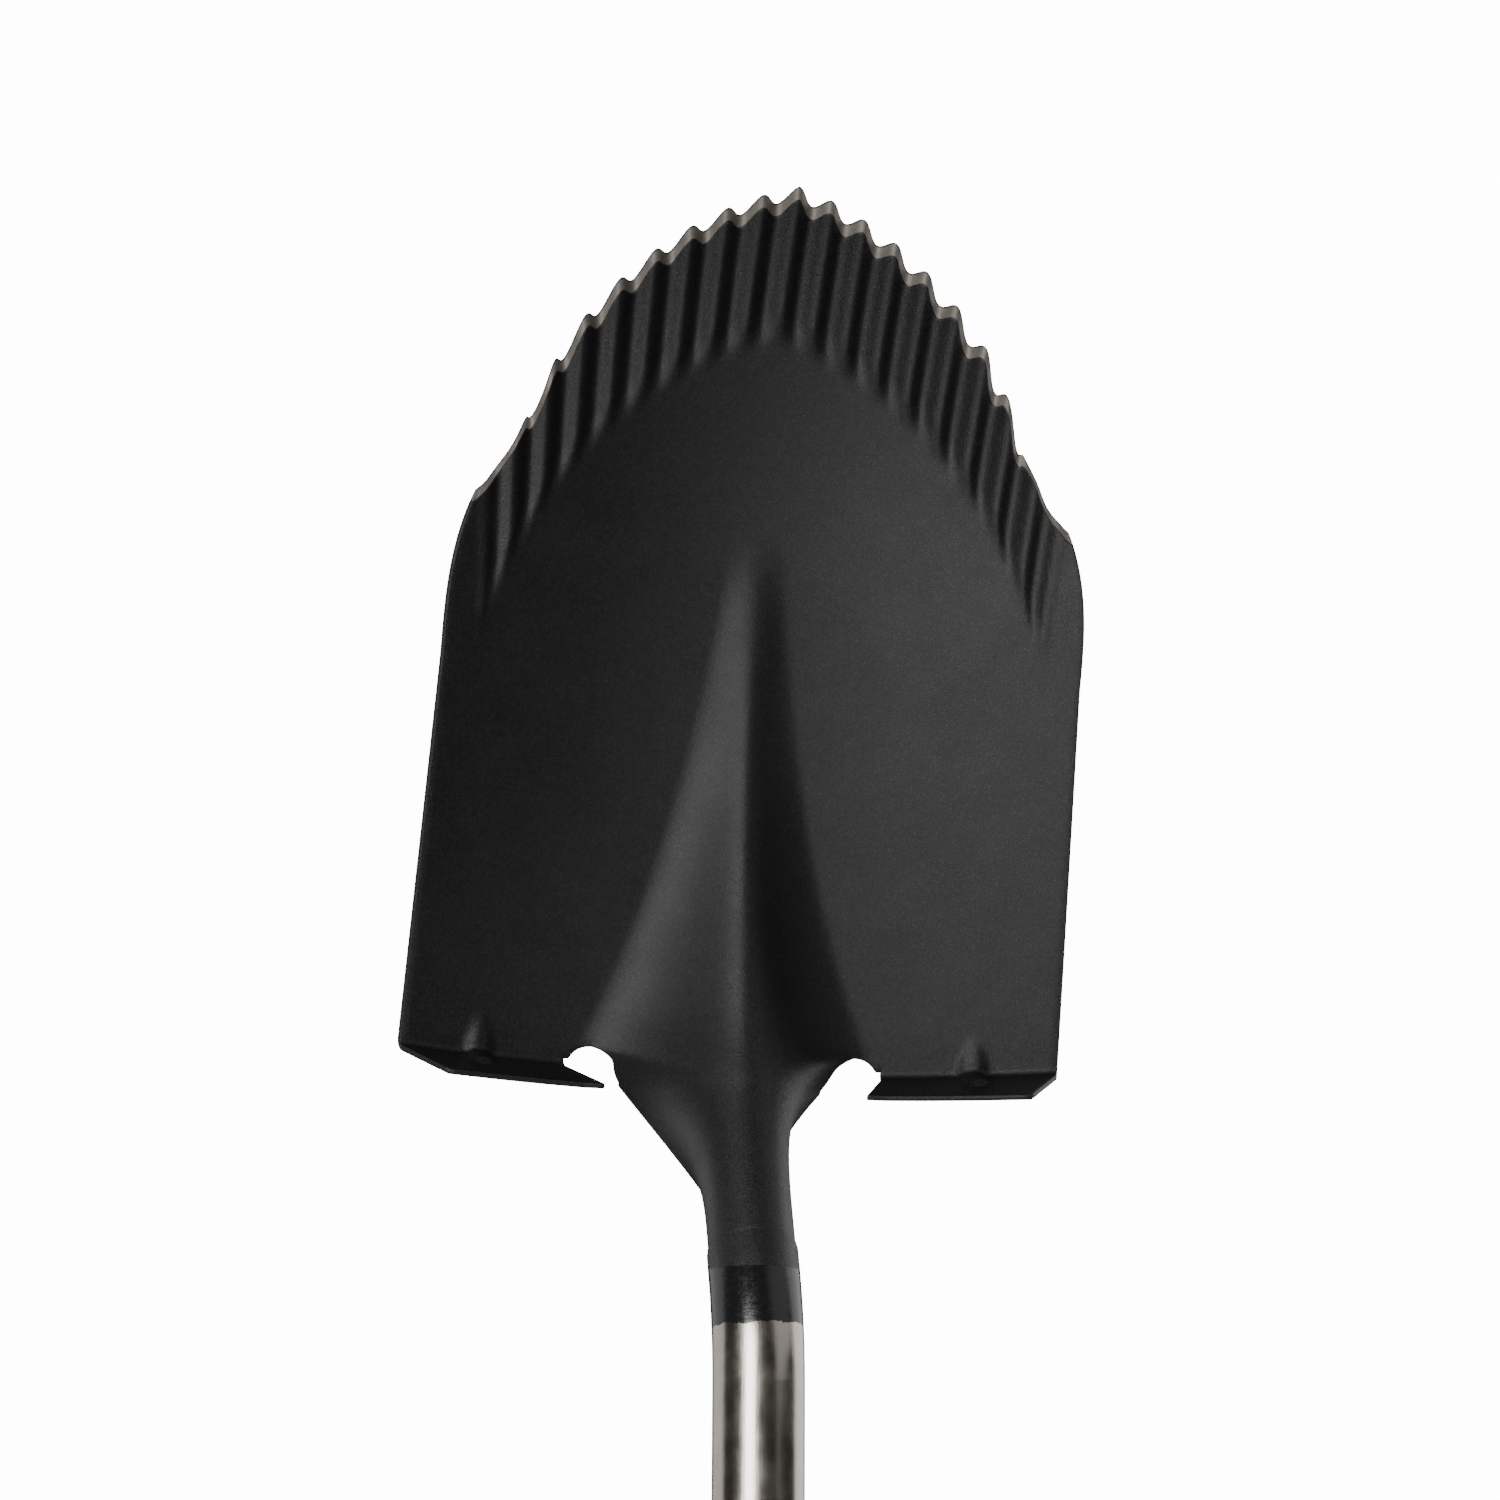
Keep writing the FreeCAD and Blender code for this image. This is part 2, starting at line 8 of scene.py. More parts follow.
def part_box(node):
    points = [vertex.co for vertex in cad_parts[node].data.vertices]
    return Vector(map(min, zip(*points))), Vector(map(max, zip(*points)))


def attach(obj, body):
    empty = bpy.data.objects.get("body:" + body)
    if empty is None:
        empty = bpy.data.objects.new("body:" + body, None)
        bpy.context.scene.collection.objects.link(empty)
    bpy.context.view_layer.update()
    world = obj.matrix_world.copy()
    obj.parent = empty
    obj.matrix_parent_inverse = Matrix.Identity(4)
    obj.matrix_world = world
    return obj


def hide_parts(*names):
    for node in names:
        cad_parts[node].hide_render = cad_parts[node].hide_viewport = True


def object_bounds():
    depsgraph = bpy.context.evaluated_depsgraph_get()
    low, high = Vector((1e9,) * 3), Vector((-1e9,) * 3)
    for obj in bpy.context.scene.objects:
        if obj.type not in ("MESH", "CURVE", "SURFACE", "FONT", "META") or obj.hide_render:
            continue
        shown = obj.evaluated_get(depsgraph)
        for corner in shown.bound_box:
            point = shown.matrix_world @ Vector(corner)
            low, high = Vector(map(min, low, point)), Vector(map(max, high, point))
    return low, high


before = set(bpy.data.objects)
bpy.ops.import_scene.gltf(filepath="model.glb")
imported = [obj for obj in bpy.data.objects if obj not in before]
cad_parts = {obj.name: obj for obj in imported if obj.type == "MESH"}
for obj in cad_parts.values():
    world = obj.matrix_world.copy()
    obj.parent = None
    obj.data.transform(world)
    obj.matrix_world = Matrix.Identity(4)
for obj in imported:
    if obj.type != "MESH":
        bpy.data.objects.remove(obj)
cad_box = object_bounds()

MM = 0.001

# ---------------------------------------------------------------- blade dimensions, in millimetres
# The blade's own axes: u across, v from the heel to the tip, w out of the hollow face.
SHEET = 2.0
BLADE_LENGTH = 305.0
HEEL_HALF = 119.4
HEEL_SWEEP = 8.0
WAIST_HALF = 114.8
WAIST_V = 135.0
SHOULDER_RATE = 4.6e-5
TOE_V = 197.0
TOE_HALF = 100.6
POINT_SLOPE = 0.25
POINT_HALF = 108.0
POINT_DEPTH = 126.0
DISH_RADIUS = 228.0
DISH_GROWTH = 0.4
DISH_V = 156.0
CURL_V = 175.0
CURL_RADIUS = 315.0

TEETH_HALF = 8.6
TOOTH_DROP = 4.4
TOOTH_GROWTH = 1.4
WAVE_DEPTH = 3.4
WAVE_FAN = 0.00055
WAVE_LENGTH = 56.0
WAVE_FADE = 14.0
BEVEL = 4.6
EDGE_THICKNESS = 0.5

CREST_SLOPE = 0.42
CREST_V = 88.6
CREST_ROUND = 38.0
KICK_SLOPE = 0.32
KICK_V = 5.0
KICK_ROUND = 7.0
FROG_SLOPE = CREST_SLOPE + KICK_SLOPE
FROG_HALF = 54.0
FROG_TAPER = 112.0
RIDGE_ROUND = 0.22
RIDGE_POWER = 1.7
RIDGE_LOW = -25.0
RIDGE_HIGH = 165.0
CREST_END = 188.0

NECK_START = -1.5
NECK_HALF = 50.0
NECK_END = -63.0
NECK_RADIUS = 15.2
NECK_WRAP = math.radians(172)
NECK_ANGLE = math.atan(FROG_SLOPE)
AXIS_RISE = 19.9
NECK_CLOSED = 0.9
FLAP_TUCK = 10.0
NECK_HASTE_MID = 3.4
NECK_HASTE_RIM = 1.6
NOTCH_RADIUS = 9.4
NOTCH_U = 48.5
NOTCH_V = -10.9

TREAD_INNER = 58.0
TREAD_DEPTH = 24.0
TREAD_LEAN = math.radians(8)
TREAD_SLANT = 7.0
TREAD_CHAMFER = 8.0
FOLD_RADIUS = 2.5
GUSSET_U = 90.0
GUSSET_HALF = 6.5
GUSSET_REACH = 12.0
GUSSET_RISE = 3.6

BLADE_COLUMNS = 301         # mesh columns across the sheet, and rows along its parts
SHEET_ROWS = 120
BEVEL_ROWS = 8
NECK_ROWS = 61
NOTCH_BLEND = 14            # how tightly the notch's rim runs into the neck's
NOTCH_OPEN = 0.0508         # widens the neck's first rows again by what that blend takes
ON_LINE = 0.01              # tolerance for columns that lie on a limit

LIFT = math.radians(16)

# ---------------------------------------------------------------- the camera, in the blade's axes
CAMERA_YAW = math.radians(13.3)
CAMERA_PITCH = math.radians(2.1)
CAMERA_ROLL = math.radians(4.0)
CAMERA_DISTANCE = 1690.0
CAMERA_AIM = (0.0, 145.6, 12.5)
CAMERA_SLIDE = (-3.0, -38.4)
CAMERA_LENS = 114.5


# ---------------------------------------------------------------- the studio, in metres and watts
AMBIENT = 0.02              # even light that reaches the object from the studio's walls
BACKDROP = 14.0             # how bright the backdrop looks
FLOOR_HALF = 0.7
FLOOR_GAP = 0.001           # keeps the floor just under the grip
LIGHTS = (                  # name, azimuth, elevation, distance, size, power
    ("key", -22, 16, 2.4, (1.0, 1.3), 46),
    ("fill", 6, -14, 3.0, (0.5, 1.5), 14),
    ("left_back", -122, 10, 2.4, (2.4, 2.8), 18),
    ("right_side", 70, 30, 2.4, (2.0, 1.8), 6),
    ("right_back", 126, 10, 2.4, (2.2, 2.8), 28),
)
LIT_POINT = (0.0, 100.0, 10.0)      # what the lights aim at, in the blade's axes
PAINT_BELOW_WELD = 0.021    # the gloss band's lower edge, below the neck's mouth
COAT_BELOW_WELD = 0.001


# ---------------------------------------------------------------- blade surface


def ease(x):
    x = np.clip(x, 0, 1)
    return x * x * (3 - 2 * x)


def waist(v):
    lower = HEEL_HALF + (WAIST_HALF - HEEL_HALF) * np.minimum(v, WAIST_V) / WAIST_V
    return lower - SHOULDER_RATE * np.maximum(v - WAIST_V, 0) ** 3


def wave_half(v):
    return TOE_HALF * (1 + WAVE_FAN * (v - TOE_V))


def teeth_line(u):
    x = np.minimum(np.abs(u) / POINT_HALF, 1)
    return BLADE_LENGTH - POINT_SLOPE * np.abs(u) - POINT_DEPTH * (1 - np.sqrt(1 - x * x))


def phase(u, v):
    return 2 * math.pi * TEETH_HALF * u / wave_half(v)


def cut_edge(u):
    top = teeth_line(u)
    drop = TOOTH_DROP * (1 + TOOTH_GROWTH * np.minimum(np.abs(u) / POINT_HALF, 1) ** 3)
    return top - drop / 2 * (1 - np.cos(phase(u, top)))


def heel_line(u):
    return -HEEL_SWEEP * (1 - (u / HEEL_HALF) ** 2)


def ramp_up(slope, place, rounding, v):
    return slope * rounding * np.log(1 + np.exp((place - v) / rounding))


def frog(u, v):
    crest = ramp_up(CREST_SLOPE, CREST_V, CREST_ROUND, v) + ramp_up(KICK_SLOPE, KICK_V, KICK_ROUND, v)
    crest = crest * ease((CREST_END - v) / 36)
    half = FROG_HALF * np.exp(-np.maximum(v, 0) / FROG_TAPER)
    x = np.minimum(np.abs(u) / half, 1)
    arch = (1 + np.cos(math.pi * x)) / 2
    fall = np.sqrt(x * x + RIDGE_ROUND ** 2) - RIDGE_ROUND
    fall = fall / (math.sqrt(1 + RIDGE_ROUND ** 2) - RIDGE_ROUND)
    ridge = np.maximum(1 - fall, 0) ** RIDGE_POWER
    sharp = ease((v - RIDGE_LOW) / 40) * ease((RIDGE_HIGH - v) / 50)
    return crest * (arch + (ridge - arch) * sharp)


def hollow(u, v):
    bend = (1 + DISH_GROWTH * (v - DISH_V) / DISH_V) / DISH_RADIUS
    return bend * u * u / 2 + np.maximum(v - CURL_V, 0) ** 2 / (2 * CURL_RADIUS)


def corrugation(u, v):
    inward = teeth_line(u) - v
    fade = 1 - ease((inward - WAVE_LENGTH + WAVE_FADE) / WAVE_FADE)
    side = ease((wave_half(v) * (1 + 0.5 / TEETH_HALF) - np.abs(u)) / 4)
    return WAVE_DEPTH / 2 * np.cos(phase(u, v)) * fade * side


def sheet_point(u, v):
    u, v = np.broadcast_arrays(np.asarray(u, float), np.asarray(v, float))
    return np.stack([u, v, hollow(u, v) + frog(u, v) + corrugation(u, v)], -1)


def unit(a):
    return a / np.linalg.norm(a, axis=-1, keepdims=True)


def sheet_normal(u, v):
    step = 0.2
    across = sheet_point(u + step, v) - sheet_point(u - step, v)
    along = sheet_point(u, v + step) - sheet_point(u, v - step)
    return unit(np.cross(across, along))


def heel_row(u):
    """Lower rim of the sheet: neck in the middle, a round notch, then the tread's fold."""
    x = np.abs(u)
    out = np.clip(x - NOTCH_U, 0, NOTCH_RADIUS)
    arc = NOTCH_V + np.sqrt(NOTCH_RADIUS ** 2 - out ** 2)
    row = np.where(x <= NOTCH_U, NECK_START, np.maximum(arc, heel_line(u)))
    return np.where(x >= TREAD_INNER - ON_LINE, heel_line(u), row)


class Plate:
    """Collects the open hollow-side surface of the blade as shared points and quads."""

    def __init__(self):
        self.points = []
        self.ripple = []
        self.inset = []
        self.fold = []
        self.quads = []

    def add(self, points, inset, fold=1e3, ripple=0.0):
        first = len(self.points)
        flat = np.asarray(points).reshape(-1, 3)
        self.points.extend(flat.tolist())
        self.ripple.extend(np.broadcast_to(ripple, len(flat)).tolist())
        self.inset.extend(np.broadcast_to(inset, len(flat)).tolist())
        self.fold.extend(np.broadcast_to(fold, len(flat)).tolist())
        return np.arange(first, first + len(flat)).reshape(np.asarray(points).shape[:-1])

    def grid(self, index):
        a, b, c, d = index[:-1, :-1], index[1:, :-1], index[1:, 1:], index[:-1, 1:]
        self.quads.extend(np.stack([a, b, c, d], -1).reshape(-1, 4).tolist())


def sheet_columns(count):
    """Column positions s, and each column's upper end on the cut edge."""
    s = np.linspace(-1, 1, count)
    top = cut_edge(s * wave_half(TOE_V + (BLADE_LENGTH - TOE_V) * (1 - np.abs(s))))
    for step in range(2):
        top = cut_edge(s * wave_half(top))
    return s, top


def column_u(s, v):
    reach = wave_half(v)
    return s * reach + np.sign(s) * np.abs(s) ** 14 * (waist(v) - reach)


def snap_heel(s, v, u):
    """Slides the columns near the heel so that some of them meet the neck's and the tread's ends."""
    base = column_u(s, 0.0)
    marks = [0.0]
    shifts = [0.0]
    for target in (NOTCH_U, TREAD_INNER):
        nearest = base[np.argmin(np.abs(base - target))]
        marks.append(nearest)
        shifts.append(target - nearest)
    marks.append(float(base[-1]))
    shifts.append(0.0)
    shift = np.interp(np.abs(base), marks, shifts) * np.sign(base)
    return u + shift[:, None] * (1 - ease(v / 60.0))


def build_sheet(plate, count):
    s, top = sheet_columns(count)
    base = column_u(s, 0.0)
    bevel_rows = np.linspace(0, BEVEL, BEVEL_ROWS)
    low = heel_row(snap_heel(s, np.zeros((count, 1)), base[:, None])[:, 0])
    part = np.linspace(0, 1, SHEET_ROWS)
    spread = 1 - (1 - part) ** 1.45
    body = low[:, None] + (top - BEVEL - low)[:, None] * spread[None, :]
    v = np.concatenate([body[:, :-1], top[:, None] - bevel_rows[None, ::-1]], 1)
    u = snap_heel(s, v, column_u(s[:, None], v))
    index = plate.add(sheet_point(u, v), (top[:, None] - v).ravel(), ripple=corrugation(u, v).ravel())
    plate.grid(index)
    return index[:, 0], u[:, 0]


def build_neck(plate, row, u):
    """Sections that pass from the frog's arch, through a tube with side flaps, to a closed ring."""
    inside = np.abs(u) <= NOTCH_U + ON_LINE
    start = row[inside]
    s = (u[inside] / NOTCH_U)[:, None]
    q = (np.linspace(0, 1, NECK_ROWS)[1:] ** 1.2)[None, :]
    along = NECK_START + (NECK_END - NECK_START) * q
    base = np.minimum(q / NECK_CLOSED, 1)
    haste = NECK_HASTE_MID + (NECK_HASTE_RIM - NECK_HASTE_MID) * s * s
    blend = (1 - (1 - base) ** haste) * ease(q / 0.15)
    rim = blend[-1:]
    rim_u = NECK_HALF * (1 - rim) + NECK_RADIUS * math.sin(NECK_WRAP) * rim
    drop = np.clip(along - NOTCH_V, 0, NOTCH_RADIUS)
    notch_u = NOTCH_U - np.sqrt(NOTCH_RADIUS ** 2 - drop ** 2)
    notch_u = np.where(along > NOTCH_V, notch_u, NOTCH_U)
    narrowed = (1 + (rim_u / notch_u) ** NOTCH_BLEND) ** (-1 / NOTCH_BLEND)
    t = s * narrowed * (1 + (1 - ease(q / 0.08)) * NOTCH_OPEN)
    arch = sheet_point(NECK_HALF * t, along)
    turn = NECK_WRAP * t
    centre_v = along - NECK_RADIUS * math.sin(NECK_ANGLE) * (1 - q)
    ring = np.stack(np.broadcast_arrays(
        NECK_RADIUS * np.sin(turn),
        centre_v + NECK_RADIUS * math.sin(NECK_ANGLE) * np.cos(turn),
        AXIS_RISE - FROG_SLOPE * centre_v + NECK_RADIUS * math.cos(NECK_ANGLE) * np.cos(turn)), -1)
    points = arch * (1 - blend[..., None]) + ring * blend[..., None]
    points[..., 2] -= FLAP_TUCK * s ** 4 * 4 * blend * (1 - blend)
    index = plate.add(points, 99.0)
    plate.grid(np.concatenate([index[:, ::-1], start[:, None]], 1))


def build_tread(plate, row, u, side):
    inside = side * u >= TREAD_INNER - ON_LINE
    start = row[inside]
    x = np.abs(u[inside])
    share = (x - TREAD_INNER) / (HEEL_HALF - TREAD_INNER)
    turn = math.pi / 2 - TREAD_LEAN
    angles = np.linspace(0, turn, 9)[1:]
    profile = [(FOLD_RADIUS * math.sin(a), FOLD_RADIUS * (1 - math.cos(a)), 0.0) for a in angles]
    bend_x, bend_y = profile[-1][:2]
    rise = TREAD_DEPTH - FOLD_RADIUS
    for part in np.linspace(0, 1, 12)[1:]:
        run = rise * part
        profile.append((bend_x + run * math.cos(turn), bend_y + run * math.sin(turn), part))
    rows = []
    for away_run, up_run, part in profile:
        inner = TREAD_INNER - TREAD_SLANT * part
        outer = HEEL_HALF - TREAD_CHAMFER * part
        across = side * (inner + (outer - inner) * share)
        steady = side * np.maximum(np.abs(across), TREAD_INNER)
        base = sheet_point(steady, heel_line(steady))
        base[:, 0] = across
        normal = sheet_normal(steady, heel_line(steady) + 3.0)
        away = -unit(np.cross(normal, np.array([1.0, 0, 0])))
        rows.append(base + away * away_run + normal * up_run)
    points = np.stack(rows, 1)
    distance = np.array([math.hypot(a, b) for a, b, part in profile])
    index = plate.add(points, 99.0, np.tile(distance, len(start)))
    full = np.concatenate([index[:, ::-1], start[:, None]], 1)
    plate.grid(full)


def press_gussets(points, fold_distance):
    """Pushes a tapering rib into the inside corner of each tread's fold."""
    u, v = points[:, 0], points[:, 1]
    distance = np.minimum(fold_distance, np.abs(v - heel_line(u)) + (v < heel_line(u) - 4) * 1e3)
    for side in (-1, 1):
        share = np.clip(1 - distance / GUSSET_REACH, 0, 1)
        width = GUSSET_HALF * np.sqrt(share) + 1e-6
        bump = np.clip(1 - np.abs(u - side * GUSSET_U) / width, 0, 1)
        lift = GUSSET_RISE * share * ease(bump * 1.4)
        points[:, 1] += lift * 0.7
        points[:, 2] += lift * 0.7
    return points


def vertex_normals(points, quads):
    a, b, c, d = (points[quads[:, k]] for k in range(4))
    face = np.cross(c - a, d - b)
    normals = np.zeros_like(points)
    for k in range(4):
        np.add.at(normals, quads[:, k], face)
    return unit(normals)


def rim_edges(quads):
    """Directed boundary edges of the open surface."""
    seen = {}
    for quad in quads.tolist():
        for k in range(4):
            a, b = quad[k], quad[(k + 1) % 4]
            if (b, a) in seen:
                del seen[(b, a)]
            else:
                seen[(a, b)] = True
    return list(seen)


def blade_mesh(columns):
    """Closed blade: hollow side, back and rounded rims, with what its materials need as attributes."""
    plate = Plate()
    row, u = build_sheet(plate, columns)
    build_neck(plate, row, u)
    for side in (-1, 1):
        build_tread(plate, row, u, side)
    points = np.array(plate.points)
    inset = np.array(plate.inset)
    quads = np.array(plate.quads)
    smooth = points - np.outer(plate.ripple, (0, 0, 1))
    normals = vertex_normals(smooth, quads)
    points = press_gussets(points, np.array(plate.fold))
    ground = (SHEET - EDGE_THICKNESS) * (1 - np.clip(inset / BEVEL, 0, 1))
    front = points - normals * ground[:, None]
    back = points - normals * SHEET
    count = len(points)
    rim = rim_edges(quads)
    ring = sorted({a for edge in rim for a in edge})
    place = {vertex: k for k, vertex in enumerate(ring)}
    outward = np.zeros((len(ring), 3))
    for a, b in rim:
        push = np.cross(points[b] - points[a], normals[a])
        outward[place[a]] += push
        outward[place[b]] += push
    outward = unit(outward)
    middle = (front[ring] + back[ring]) / 2
    half = (front[ring] - back[ring]) / 2
    size = np.linalg.norm(half, axis=1, keepdims=True)
    layers = []
    for angle in (30, 90, 150):
        turn = math.radians(angle)
        layers.append(middle + half * math.cos(turn) + outward * size * math.sin(turn) * 0.45)
    vertices = np.concatenate([front, back] + layers)
    faces = quads.tolist() + (quads[:, ::-1] + count).tolist()
    levels = [np.array(ring)] + [2 * count + k * len(ring) + np.arange(len(ring)) for k in range(3)]
    levels.append(np.array(ring) + count)
    for a, b in rim:
        i, j = place[a], place[b]
        for upper, lower in zip(levels[:-1], levels[1:]):
            faces.append([int(upper[j]), int(upper[i]), int(lower[i]), int(lower[j])])
    rim_inset = np.tile(inset[ring], 3)
    attributes = {
        "inset": np.concatenate([inset, inset, rim_inset]),
        "face_side": np.concatenate([np.ones(count), np.zeros(count), np.full(3 * len(ring), 0.5)]),
    }
    return vertices, faces, attributes


def blade_to_row():
    """Turn of the blade's axes into the part's."""
    s, c = math.sin(LIFT), math.cos(LIFT)
    return np.array([[1, 0, 0], [0, -s, -c], [0, c, -s]])


def mesh_object(name, vertices, faces):
    mesh = bpy.data.meshes.new(name)
    mesh.from_pydata(vertices.tolist(), [], faces)
    mesh.update()
    mesh.shade_smooth()
    thing = bpy.data.objects.new(name, mesh)
    bpy.context.scene.collection.objects.link(thing)
    return thing


# ---------------------------------------------------------------- node helpers
class Nodes:
    """Short ways to wire a material."""

    def __init__(self, name):
        self.material = bpy.data.materials.new(name)
        self.material.use_nodes = True
        self.tree = self.material.node_tree
        self.tree.nodes.clear()
        self.output = self.tree.nodes.new("ShaderNodeOutputMaterial")

    def new(self, kind, **settings):
        node = self.tree.nodes.new("ShaderNode" + kind)
        for name, value in settings.items():
            setattr(node, name, value)
        return node

    def link(self, source, target):
        if hasattr(source, "is_output"):
            self.tree.links.new(source, target)
        else:
            target.default_value = source

    def position(self):
        return self.new("NewGeometry").outputs["Position"]

    def scaled(self, vector, scale):
        node = self.new("VectorMath", operation="MULTIPLY")
        self.link(vector, node.inputs[0])
        node.inputs[1].default_value = scale
        return node.outputs[0]

    def noise(self, vector, scale, detail=2.0, roughness=0.5):
        node = self.new("TexNoise")
        self.link(vector, node.inputs["Vector"])
        node.inputs["Scale"].default_value = scale
        node.inputs["Detail"].default_value = detail
        node.inputs["Roughness"].default_value = roughness
        return node.outputs["Fac"]

    def attribute(self, name):
        return self.new("Attribute", attribute_name=name).outputs["Fac"]

    def math(self, operation, a, b):
        node = self.new("Math", operation=operation)
        for socket, value in zip(node.inputs, (a, b)):
            self.link(value, socket)
        return node.outputs[0]

    def ramp(self, value, low, high, start=0.0, end=1.0):
        node = self.new("MapRange", interpolation_type="SMOOTHSTEP")
        for name, given in (("Value", value), ("From Min", low), ("From Max", high),
                            ("To Min", start), ("To Max", end)):
            self.link(given, node.inputs[name])
        return node.outputs[0]

    def mix_colour(self, factor, a, b):
        node = self.new("Mix", data_type="RGBA")
        self.link(factor, node.inputs["Factor"])
        for socket, value in ((node.inputs[6], a), (node.inputs[7], b)):
            self.link((*value, 1.0) if isinstance(value, tuple) else value, socket)
        return node.outputs[2]

    def bump(self, height, distance, strength):
        node = self.new("Bump")
        node.inputs["Strength"].default_value = strength
        node.inputs["Distance"].default_value = distance
        self.link(height, node.inputs["Height"])
        return node.outputs["Normal"]

    def surface(self, colour, roughness, normal=None, **constants):
        """Principled surface; what is the same all over is set on the shader's own sockets."""
        node = self.new("BsdfPrincipled")
        self.link((*colour, 1.0) if isinstance(colour, tuple) else colour, node.inputs["Base Color"])
        self.link(roughness, node.inputs["Roughness"])
        if normal is not None:
            self.link(normal, node.inputs["Normal"])
        for name, value in constants.items():
            node.inputs[name.replace("_", " ")].default_value = value
        return node.outputs[0]

    def blend(self, factor, a, b):
        node = self.new("MixShader")
        self.link(factor, node.inputs[0])
        self.link(a, node.inputs[1])
        self.link(b, node.inputs[2])
        return node.outputs[0]

    def finish(self, shader):
        self.link(shader, self.output.inputs["Surface"])
        return self.material


def coat_shader(n, colour=(0.006, 0.0057, 0.0062), rough=0.38):
    """Fine-grained matte powder coat."""
    place = n.position()
    grain = n.noise(place, 1900.0, 3.0, 0.65)
    cloud = n.noise(place, 14.0, 3.0)
    normal = n.bump(grain, 0.00035, 0.7)
    speckle = n.ramp(grain, 0.45, 0.75)
    pale = tuple(6.0 * x for x in colour)
    shade = n.mix_colour(speckle, colour, pale)
    shade = n.mix_colour(n.math("MULTIPLY", n.ramp(cloud, 0.3, 0.7), 0.1), shade, pale)
    shine = n.ramp(n.noise(place, 60.0, 4.0), 0.3, 0.7, rough - 0.03, rough + 0.04)
    return n.surface(shade, shine, normal, Specular_IOR_Level=0.5)


def bare_shader(n, colour=(0.235, 0.21, 0.185), rough=0.55):
    """Ground steel, dull and a little warm, painted darker along the very edge."""
    place = n.position()
    grain = n.noise(place, 1600.0, 3.0, 0.6)
    cloud = n.noise(place, 260.0, 4.0, 0.6)
    uneven = n.math("ADD", n.math("MULTIPLY", cloud, 0.5), n.math("MULTIPLY", grain, 0.5))
    shade = n.mix_colour(n.ramp(uneven, 0.35, 0.65), tuple(0.72 * x for x in colour), colour)
    # Colour painted near black along the very cutting edge, where the inset is under about half a
    # millimetre.
    dark_edge_line = n.ramp(n.attribute("inset"), 0.15, 0.6)
    shade = n.mix_colour(dark_edge_line, (0.05, 0.045, 0.04), shade)
    return n.surface(shade, rough, n.bump(grain, 0.0002, 0.6), Metallic=0.45)


def blade_material():
    n = Nodes("powder_coat")
    inset = n.attribute("inset")
    side = n.attribute("face_side")
    wobble = n.noise(n.position(), 420.0, 3.0)
    front_limit = n.math("ADD", BEVEL - 1.15, n.math("MULTIPLY", wobble, 0.8))
    back_limit = n.math("MULTIPLY", wobble, 1.0)
    chosen = n.ramp(side, 0.2, 0.4)
    limit = n.math("ADD", n.math("MULTIPLY", front_limit, chosen),
                   n.math("MULTIPLY", back_limit, n.math("SUBTRACT", 1.0, chosen)))
    bare = n.ramp(n.math("SUBTRACT", limit, inset), -0.12, 0.12)
    return n.finish(n.blend(bare, coat_shader(n), bare_shader(n)))


def coat_material():
    n = Nodes("powder_coat_plain")
    return n.finish(coat_shader(n))


def tube_material(paint_low, coat_low):
    """Bare tube whose upper end wears the blade's coat and a gloss band below it, by height."""
    n = Nodes("shaft_finish")
    place = n.position()
    height = n.new("SeparateXYZ")
    n.link(place, height.inputs[0])
    z = height.outputs["Z"]
    ragged = n.noise(place, 130.0, 4.0, 0.6)
    edge = n.math("ADD", z, n.math("MULTIPLY", n.math("SUBTRACT", ragged, 0.5), 0.006))
    painted = n.ramp(edge, paint_low - 0.0002, paint_low + 0.0002)
    coated = n.ramp(z, coat_low - 0.0003, coat_low + 0.0003)
    brushed = n.noise(n.scaled(place, (1.0, 1.0, 0.03)), 900.0, 4.0, 0.6)
    mottle = n.noise(place, 70.0, 5.0, 0.65)
    steel_colour = n.mix_colour(n.ramp(mottle, 0.3, 0.75), (0.46, 0.42, 0.375), (0.58, 0.535, 0.48))
    steel_rough = n.ramp(mottle, 0.3, 0.7, 0.2, 0.27)
    steel = n.surface(steel_colour, steel_rough, n.bump(brushed, 0.00008, 0.5),
                      Metallic=1.0, Anisotropic=0.4)
    flakes = n.noise(place, 700.0, 3.0, 0.7)
    gloss_rough = n.ramp(flakes, 0.3, 0.7, 0.16, 0.3)
    gloss = n.surface((0.012, 0.012, 0.013), gloss_rough, n.bump(flakes, 0.00012, 0.5),
                      Specular_IOR_Level=0.6)
    lower = n.blend(painted, steel, gloss)
    return n.finish(n.blend(coated, lower, coat_shader(n)))


def zinc_material():
    n = Nodes("zinc_steel")
    place = n.position()
    cloud = n.noise(place, 240.0, 4.0, 0.6)
    shade = n.mix_colour(n.ramp(cloud, 0.3, 0.7), (0.42, 0.42, 0.41), (0.58, 0.58, 0.56))
    rough = n.ramp(cloud, 0.3, 0.7, 0.28, 0.4)
    return n.finish(n.surface(shade, rough, n.bump(cloud, 0.00006, 0.6), Metallic=1.0))


def rubber_material():
    n = Nodes("grip_rubber")
    place = n.position()
    grain = n.noise(place, 2200.0, 3.0, 0.6)
    dust = n.noise(place, 90.0, 4.0)
    shade = n.mix_colour(n.ramp(dust, 0.4, 0.75), (0.022, 0.022, 0.023), (0.04, 0.039, 0.037))
    return n.finish(n.surface(shade, n.ramp(dust, 0.3, 0.7, 0.62, 0.75), n.bump(grain, 0.0001, 0.7)))


def plastic_material():
    n = Nodes("plug_plastic")
    place = n.position()
    grain = n.noise(place, 1500.0, 2.0)
    shade = n.mix_colour(n.noise(place, 80.0), (0.02, 0.02, 0.02), (0.032, 0.032, 0.034))
    return n.finish(n.surface(shade, 0.5, n.bump(grain, 0.00006, 0.6)))


